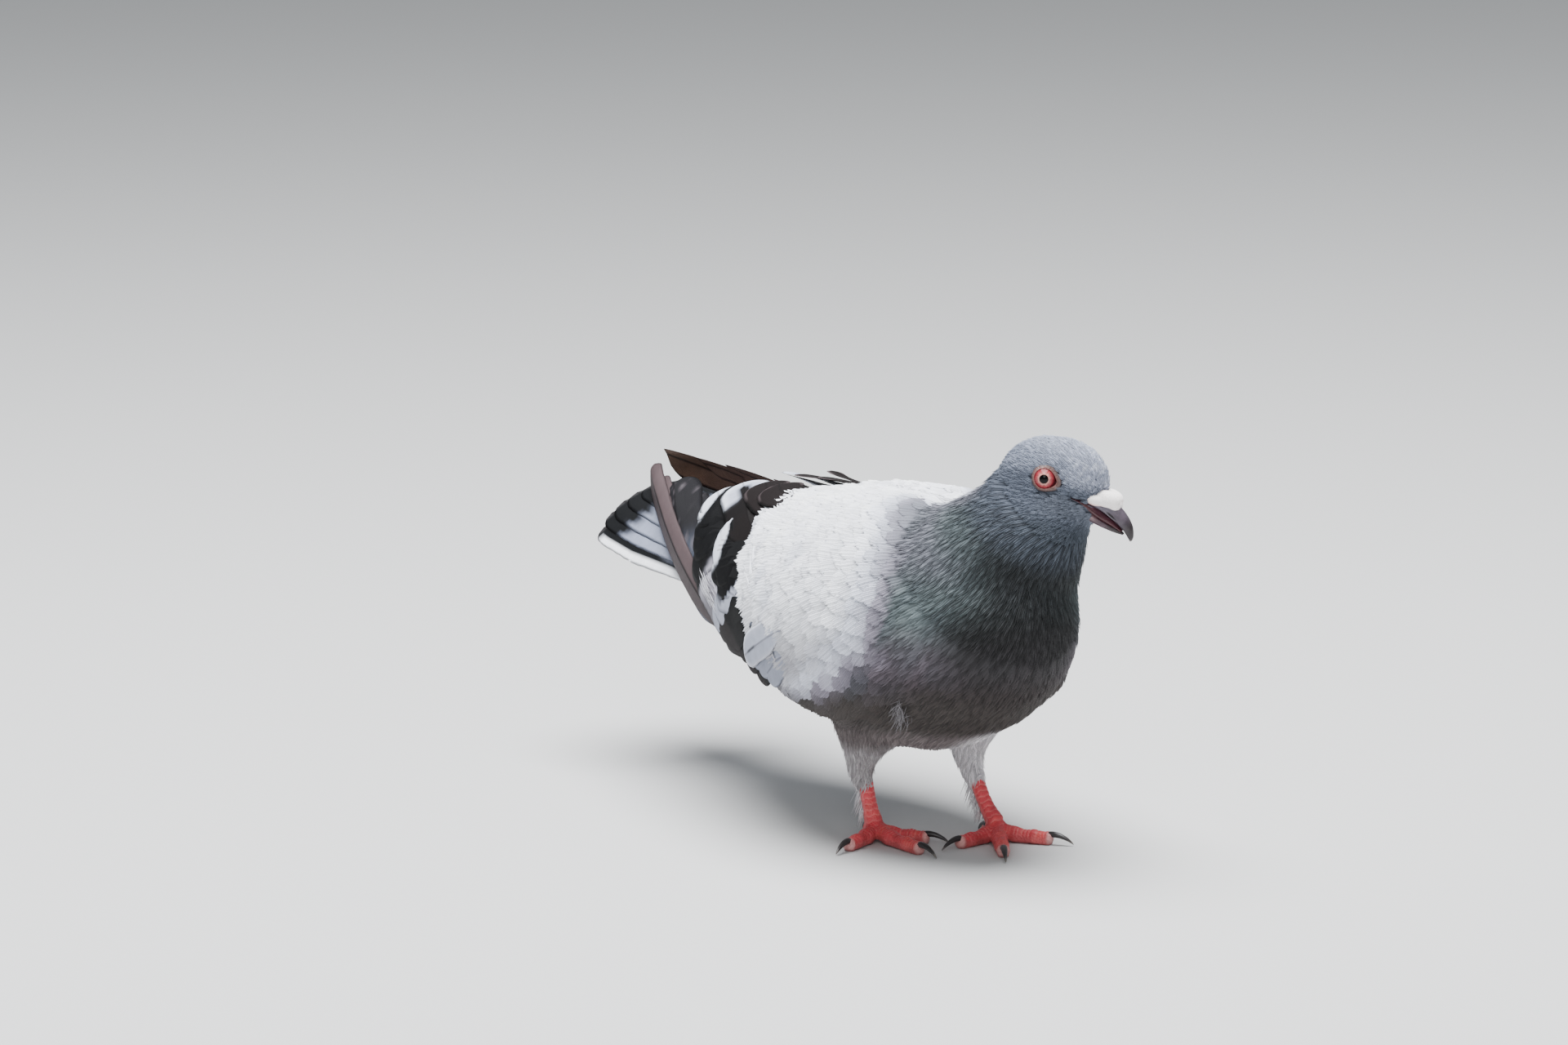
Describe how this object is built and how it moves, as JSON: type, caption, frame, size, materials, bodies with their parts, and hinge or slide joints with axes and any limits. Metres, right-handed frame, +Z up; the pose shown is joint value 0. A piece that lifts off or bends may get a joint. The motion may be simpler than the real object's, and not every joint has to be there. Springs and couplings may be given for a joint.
{
  "type": "pigeon",
  "caption": "Life-size still model of a rock pigeon standing with folded wings, its neck and head turned to its left and its bill a little open.",
  "frame": {"origin": "on the floor, under the centre of the bird's bounding box", "axes": "+X the way the trunk faces, +Y to the bird's left, +Z up"},
  "size_m": [0.2782, 0.1024, 0.1505],
  "materials": {
    "head_feathers": "matt feather, blue grey",
    "neck_feathers": "feather with a green and purple gloss",
    "body_feathers": "matt feather, taupe grey",
    "bill_horn": "smooth dark horn",
    "cere_skin": "powdery pale skin",
    "eye": "wet, red with a black pupil",
    "covert_feathers": "matt feather, white to pale grey",
    "bar_feathers": "matt feather, black bars with white tips",
    "flight_feathers": "matt feather, brownish grey",
    "thigh_feathers": "loose whitish feather",
    "foot_skin": "scaly red skin",
    "claw_horn": "smooth dark horn",
    "tail_feathers": "matt feather, grey with a black end band"
  },
  "bodies": {
    "root": {"head": "head_feathers", "neck": "neck_feathers", "trunk": "body_feathers", "bill_upper": "bill_horn", "bill_lower": "bill_horn", "cere": "cere_skin", "eye_right": "eye", "eye_left": "eye", "wing_right_coverts": "covert_feathers", "wing_right_secondaries": "bar_feathers", "wing_right_primaries": "flight_feathers", "wing_left_coverts": "covert_feathers", "wing_left_secondaries": "bar_feathers", "wing_left_primaries": "flight_feathers", "leg_right_thigh": "thigh_feathers", "leg_right_shank": "foot_skin", "leg_right_foot": "foot_skin", "leg_right_claw_1": "claw_horn", "leg_right_claw_2": "claw_horn", "leg_right_claw_3": "claw_horn", "leg_right_claw_4": "claw_horn", "leg_left_thigh": "thigh_feathers", "leg_left_shank": "foot_skin", "leg_left_foot": "foot_skin", "leg_left_claw_1": "claw_horn", "leg_left_claw_2": "claw_horn", "leg_left_claw_3": "claw_horn", "leg_left_claw_4": "claw_horn", "tail": "tail_feathers"}
  },
  "joints": []
}
